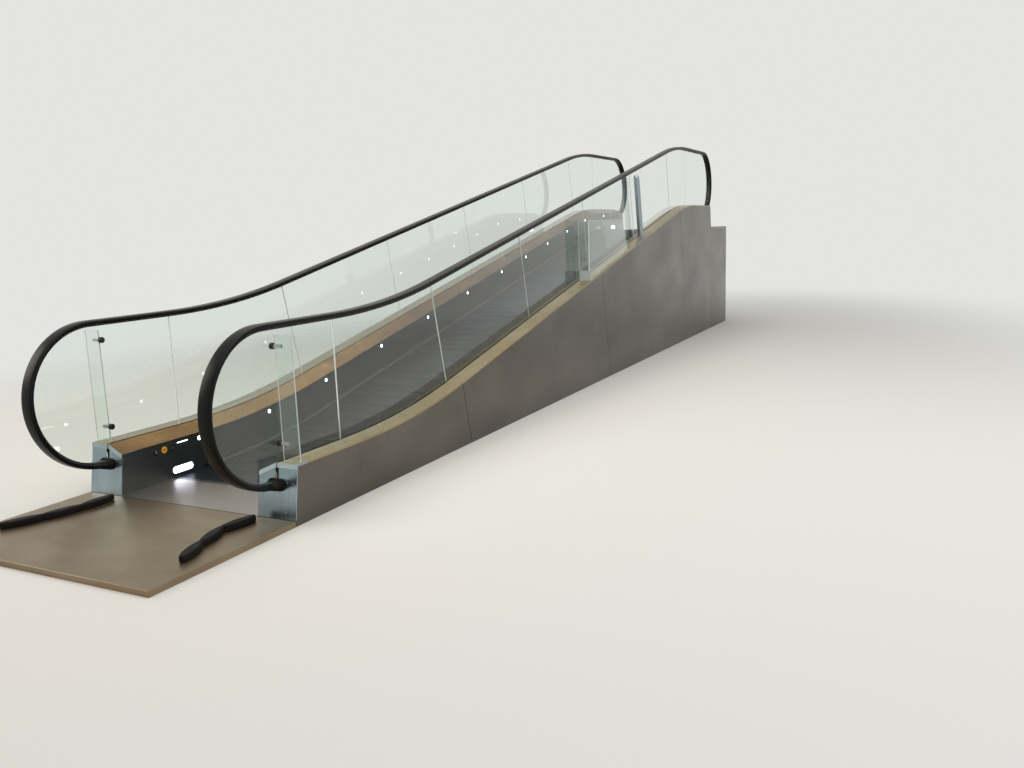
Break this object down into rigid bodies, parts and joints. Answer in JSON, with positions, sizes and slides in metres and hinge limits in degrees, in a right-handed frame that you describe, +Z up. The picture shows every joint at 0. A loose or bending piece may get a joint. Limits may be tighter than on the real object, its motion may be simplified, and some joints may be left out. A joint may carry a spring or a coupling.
{
  "type": "inclined moving walk",
  "caption": "Inclined moving walk (a stepless escalator) with a flat pallet band, glass balustrades, D-shaped handrail ends, skirts, combs and floor plates.",
  "frame": {"origin": "on the ground, in the middle of the length and the width of the whole machine", "axes": "+Y along the travel towards the upper landing, +X to the right of a rider going up, +Z up"},
  "size_m": [1.508, 10.6012, 2.38],
  "materials": {
    "pallet_aluminium": "satin",
    "floor_steel": "satin",
    "comb_aluminium": "satin",
    "skirt_steel": "satin",
    "deck_steel": "satin",
    "front_steel": "satin",
    "glass": "gloss",
    "handrail_rubber": "satin",
    "black_rubber": "matte",
    "guide_steel": "satin",
    "brush_bristle": "matte",
    "cladding_steel": "satin",
    "truss_paint": "matte",
    "switch_plastic": "satin",
    "lamp_lens": "gloss"
  },
  "bodies": {
    "root": {"truss_housing": "truss_paint", "pallets": "pallet_aluminium", "lower_floor_plate": "floor_steel", "upper_floor_plate": "floor_steel", "lower_comb_plate": "comb_aluminium", "upper_comb_plate": "comb_aluminium", "left_skirt": "skirt_steel", "right_skirt": "skirt_steel", "left_skirt_brush": "brush_bristle", "right_skirt_brush": "brush_bristle", "left_inner_deck": "deck_steel", "right_inner_deck": "deck_steel", "left_outer_deck": "deck_steel", "right_outer_deck": "deck_steel", "left_glass_clamp": "guide_steel", "right_glass_clamp": "guide_steel", "left_glass": "glass", "right_glass": "glass", "left_handrail_guide": "guide_steel", "right_handrail_guide": "guide_steel", "left_handrail": "handrail_rubber", "right_handrail": "handrail_rubber", "lower_left_newel_base": "front_steel", "lower_right_newel_base": "front_steel", "upper_left_newel_base": "front_steel", "upper_right_newel_base": "front_steel", "lower_left_inlet_collar": "black_rubber", "lower_right_inlet_collar": "black_rubber", "upper_left_inlet_collar": "black_rubber", "upper_right_inlet_collar": "black_rubber", "left_cladding": "cladding_steel", "right_cladding": "cladding_steel", "upper_end_wall": "cladding_steel", "left_skirt_lights": "lamp_lens", "right_skirt_lights": "lamp_lens", "left_floor_guides": "black_rubber", "right_floor_guides": "black_rubber", "left_barrier_glass": "glass", "right_barrier_glass": "glass", "left_barrier_clamps": "guide_steel", "right_barrier_clamps": "guide_steel", "climb_panel": "glass", "climb_panel_shoe": "guide_steel", "skirt_switches": "switch_plastic", "stop_post": "guide_steel"}
  },
  "joints": []
}
